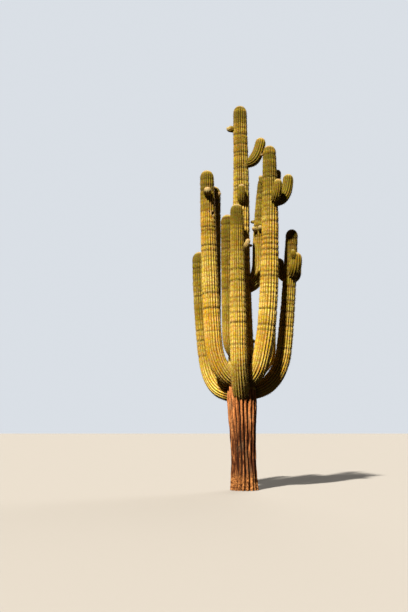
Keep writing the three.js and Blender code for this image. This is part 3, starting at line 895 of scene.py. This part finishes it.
class SAGUARO_OT_arms(bpy.types.Operator):
    """Adds the ribbed skins of the big arms, each in one piece"""
    bl_idname = "saguaro.add_arms"
    bl_label = "Add Arms"

    def execute(self, context):
        add_skins(context.scene, ARMS)
        return {"FINISHED"}


class SAGUARO_OT_branches(bpy.types.Operator):
    """Adds the ribbed skins of the side branches"""
    bl_idname = "saguaro.add_branches"
    bl_label = "Add Side Branches"

    def execute(self, context):
        add_skins(context.scene, BRANCHES)
        return {"FINISHED"}


class SAGUARO_OT_buds(bpy.types.Operator):
    """Adds the ribbed skins of the young buds"""
    bl_idname = "saguaro.add_buds"
    bl_label = "Add Buds"

    def execute(self, context):
        add_skins(context.scene, BUDS)
        return {"FINISHED"}


def round_hole(co, centre, facing, width):
    """How far points are from the nest hole's axis, in hole radii, and how far outside its centre."""
    away = co - np.array(centre)
    depth = away @ np.array(facing)
    across = away - depth[:, None] * np.array(facing)
    return np.linalg.norm(across * (1, 1, HOLE_SHAPE), axis=1) / (width / 2), depth


def hole_cutter(centre, facing, width, depth):
    """A ball that is drawn out along the direction that the hole faces."""
    bm = bmesh.new()
    bmesh.ops.create_uvsphere(bm, u_segments=24, v_segments=16, radius=1)
    bmesh.ops.scale(bm, verts=bm.verts, vec=(width / 2, width / 2 / HOLE_SHAPE, depth))
    turned = facing.to_track_quat("Z", "Y").to_matrix()
    bmesh.ops.rotate(bm, verts=bm.verts, cent=(0, 0, 0), matrix=turned)
    bmesh.ops.translate(bm, verts=bm.verts, vec=centre)
    bmesh.ops.recalc_face_normals(bm, faces=bm.faces)
    return add_object("nest_cutter", mesh_of(bm, "nest_cutter"))


def cut_away(piece, cutter):
    """The piece's mesh less the cutter, which is removed."""
    cut = piece.modifiers.new("nest", "BOOLEAN")
    cut.object = cutter
    cut.operation = "DIFFERENCE"
    cut.solver = "EXACT"
    bpy.context.view_layer.update()
    result = bpy.data.meshes.new_from_object(
        piece.evaluated_get(bpy.context.evaluated_depsgraph_get()))
    piece.modifiers.remove(cut)
    bpy.data.objects.remove(cutter)
    return result


class SAGUARO_OT_nest(bpy.types.Operator):
    """Cuts the woodpecker's nest hole and a shallower peck, with their healed rims, into one arm"""
    bl_idname = "saguaro.add_nest"
    bl_label = "Add Nest Hole"

    def execute(self, context):
        nest = context.scene.saguaro_nest
        piece = bpy.data.objects[f"skin_arm_{NEST_LIMB}"]
        places = nest_places(all_limbs(context.scene))
        for centre, facing, _, size in places:
            mesh = piece.data
            co = read_points(mesh)
            apart, depth = round_hole(co, centre, facing, size * nest.width)
            rim = np.exp(-(((apart - 1.25) / 0.35) ** 2)) * (depth > -0.08)
            co += np.array(facing) * (0.007 * size * rim)[:, None]
            mesh.vertices.foreach_set("co", co.ravel())
            piece.data = cut_away(piece, hole_cutter(centre, facing, size * nest.width, size * nest.depth))

        co = read_points(piece.data)
        scar, hole_shade = np.zeros(len(co)), np.zeros(len(co))
        for centre, facing, _, size in places:
            apart, depth = round_hole(co, centre, facing, size * nest.width)
            near = (1 - smooth(apart, 1.35, 1.9)) * (depth > -1.3 * nest.depth)
            scar = np.maximum(scar, near)
            # Marks the hole's inner walls, past its mouth, for painted shade.
            hole_shade = np.maximum(hole_shade, (1 - smooth(apart, 0.85, 1.02)) * smooth(-depth, 0.004, 0.02) * near)
        set_attribute(piece.data, "scar", scar)
        set_attribute(piece.data, "hole_shade", hole_shade)
        return {"FINISHED"}


class SAGUARO_OT_spines(bpy.types.Operator):
    """Adds the tufts of spines and the felted areoles that they grow from"""
    bl_idname = "saguaro.add_spines"
    bl_label = "Add Spines and Areoles"

    def execute(self, context):
        scene = context.scene
        spines, ribs = scene.saguaro_spines, scene.saguaro_ribs
        rng = np.random.default_rng(SEEDS["spines"])
        tufts = [make_tuft(spines.count, spines.length, spines.thickness, rng) for _ in range(5)]
        pad = make_pad(spines.pad)
        roughness = {"gold": 0.45, "straw": 0.5, "ash": 0.7}
        colours = [plain_material(f"{name}_spines", getattr(spines, name), roughness[name])
                   for name in roughness]
        felt = plain_material("areole_felt", spines.pad_colour, 0.95)
        limbs = all_limbs(scene)
        nests = np.array([place[0] for place in nest_places(limbs)])
        groups = {limb.name: [limb] for name, limb in limbs.items() if name == "trunk" or name in ARMS}
        groups["branches"] = [limbs[name] for name in BRANCHES]
        groups["buds"] = [limbs[name] for name in BUDS]
        for name, members in groups.items():
            found = [areoles(limb, ribs, limb.surface + 0.03) for limb in members]
            points, frames, from_tip = (np.concatenate(column) for column in zip(*found))
            apart = np.linalg.norm(points[:, None] - nests, axis=2).min(1)
            clear = apart > 0.9 * scene.saguaro_nest.width
            points, frames, from_tip = points[clear], frames[clear], from_tip[clear]
            count = len(points)
            grown = rng.random(count) < smooth(from_tip, 0.2, 2.4)
            old = rng.random(count) < 0.05 + 0.25 * smooth(from_tip, 1.0, 5.0)
            shade = np.where(old, 2, grown.astype(int))
            sizes = rng.uniform(0.8, 1.15, count) * (0.55 + 0.45 * smooth(from_tip, 0.02, 0.2))
            chosen = rng.integers(0, len(tufts), count)
            mesh = scattered(f"spines_{name}", tufts, points, frames, sizes, chosen, shade)
            add_piece(f"spines_{name}", mesh, colours)
            same = np.zeros(count, int)
            mesh = scattered(f"areoles_{name}", [pad], points, frames, sizes, same, same)
            add_piece(f"areoles_{name}", mesh, [felt])
        return {"FINISHED"}


def floor_paint(stage):
    """Pale to the camera and darker as a reflector, so that the undersides stay in shade."""
    material, tree = new_material("floor_paint")
    seen = add_node(tree, "ShaderNodeLightPath", {}).outputs["Is Camera Ray"]
    colour = blend(tree, seen, stage.floor * FLOOR_BOUNCE, stage.floor)
    shader = add_node(tree, "ShaderNodeBsdfDiffuse", {"Color": colour})
    add_node(tree, "ShaderNodeOutputMaterial", {"Surface": shader.outputs["BSDF"]})
    return material


def add_light(name, strength, softness, colour, elevation, turn):
    """A sun lamp that stands at an elevation, turned round the plant from the camera's side."""
    light = add_object(name, bpy.data.lights.new(name, "SUN"))
    light.data.energy = strength
    light.data.angle = math.radians(softness)
    light.data.color = colour
    light.rotation_euler = (math.radians(90 - elevation), 0, math.radians(turn))


class SAGUARO_OT_stage(bpy.types.Operator):
    """Adds the floor, the lights and the camera"""
    bl_idname = "saguaro.add_stage"
    bl_label = "Add Stage"

    def execute(self, context):
        scene = context.scene
        stage = scene.saguaro_stage
        bm = bmesh.new()
        bmesh.ops.create_grid(bm, x_segments=1, y_segments=1, size=150)
        floor = add_object("floor", mesh_of(bm, "floor"))
        floor.data.materials.append(floor_paint(stage))

        add_light("key_light", stage.key, **KEY_LIGHT)
        add_light("back_light", stage.back, **BACK_LIGHT)

        world = bpy.data.worlds.new("studio")
        world.use_nodes = True
        tree = world.node_tree
        tree.nodes.clear()
        seen = add_node(tree, "ShaderNodeLightPath", {}).outputs["Is Camera Ray"]
        fill = add_node(tree, "ShaderNodeBackground", {
            "Color": stage.fill_colour, "Strength": stage.fill,
        })
        backdrop = add_node(tree, "ShaderNodeBackground", {"Color": stage.backdrop, "Strength": 1.0})
        mixed = add_node(tree, "ShaderNodeMixShader", {
            0: seen, 1: fill.outputs["Background"], 2: backdrop.outputs["Background"],
        })
        add_node(tree, "ShaderNodeOutputWorld", {"Surface": mixed.outputs["Shader"]})
        scene.world = world

        camera = add_object("camera", bpy.data.cameras.new("camera"))
        camera.data.lens = LENS
        camera.data.sensor_width = SENSOR_WIDTH
        camera.data.clip_end = VIEW_DEPTH
        camera.location = CAMERA_PLACE
        camera.rotation_euler = (math.radians(CAMERA_TILT), 0, 0)
        scene.camera = camera
        scene.view_settings.view_transform = "Standard"
        return {"FINISHED"}


class SAGUARO_PT_panel(bpy.types.Panel):
    """Lists the pieces in the order in which they are added"""
    bl_idname = "SAGUARO_PT_panel"
    bl_label = "Saguaro Cactus"
    bl_space_type = "VIEW_3D"
    bl_region_type = "UI"
    bl_category = "Saguaro"

    def draw(self, context):
        for group in GROUPS:
            box = self.layout.box()
            settings = getattr(context.scene, group)
            for name in settings.__annotations__:
                box.prop(settings, name)
        for operator in OPERATORS:
            self.layout.operator(operator.bl_idname)


GROUPS = {
    "saguaro_trunk": SaguaroTrunkSettings,
    "saguaro_ribs": SaguaroRibSettings,
    "saguaro_skin": SaguaroSkinSettings,
    "saguaro_spines": SaguaroSpineSettings,
    "saguaro_nest": SaguaroNestSettings,
    "saguaro_stage": SaguaroStageSettings,
}
OPERATORS = (
    SAGUARO_OT_trunk,
    SAGUARO_OT_arms,
    SAGUARO_OT_branches,
    SAGUARO_OT_buds,
    SAGUARO_OT_nest,
    SAGUARO_OT_spines,
    SAGUARO_OT_stage,
)


def register():
    for name, group in GROUPS.items():
        bpy.utils.register_class(group)
        setattr(bpy.types.Scene, name, PointerProperty(type=group))
    for kind in (*OPERATORS, SAGUARO_PT_panel):
        bpy.utils.register_class(kind)


def unregister():
    for kind in (SAGUARO_PT_panel, *OPERATORS):
        bpy.utils.unregister_class(kind)
    for name, group in GROUPS.items():
        delattr(bpy.types.Scene, name)
        bpy.utils.unregister_class(group)


def main():
    register()
    bpy.ops.saguaro.add_trunk()
    bpy.ops.saguaro.add_arms()
    bpy.ops.saguaro.add_branches()
    bpy.ops.saguaro.add_buds()
    bpy.ops.saguaro.add_nest()
    bpy.ops.saguaro.add_spines()
    bpy.ops.saguaro.add_stage()


if __name__ == "__main__":
    main()
